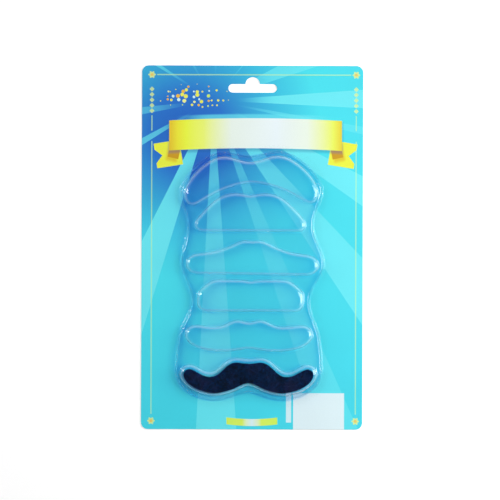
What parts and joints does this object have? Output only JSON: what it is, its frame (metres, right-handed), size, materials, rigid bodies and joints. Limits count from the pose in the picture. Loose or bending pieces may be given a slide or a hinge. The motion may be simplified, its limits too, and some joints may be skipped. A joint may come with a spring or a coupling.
{
  "type": "fake moustache on a blister card",
  "caption": "Self-adhesive plush handlebar moustache for fancy dress, under a clear formed blister on a printed card with a wide hang slot.",
  "frame": {"origin": "middle of the card's back face, which lies on the surface", "axes": "+Y along the card towards its hang slot, +X across it, +Z out of its printed face"},
  "size_m": [0.146, 0.24, 0.0077],
  "materials": {
    "printed_board": "coated board with a bright blue print, satin",
    "clear_plastic": "clear formed sheet, gloss",
    "black_plush": "short black pile, dull",
    "adhesive_film": "pale sticky film, dull"
  },
  "bodies": {
    "root": {"card": "printed_board", "blister": "clear_plastic", "moustache_plush": "black_plush", "adhesive_strip": "adhesive_film"}
  },
  "joints": []
}
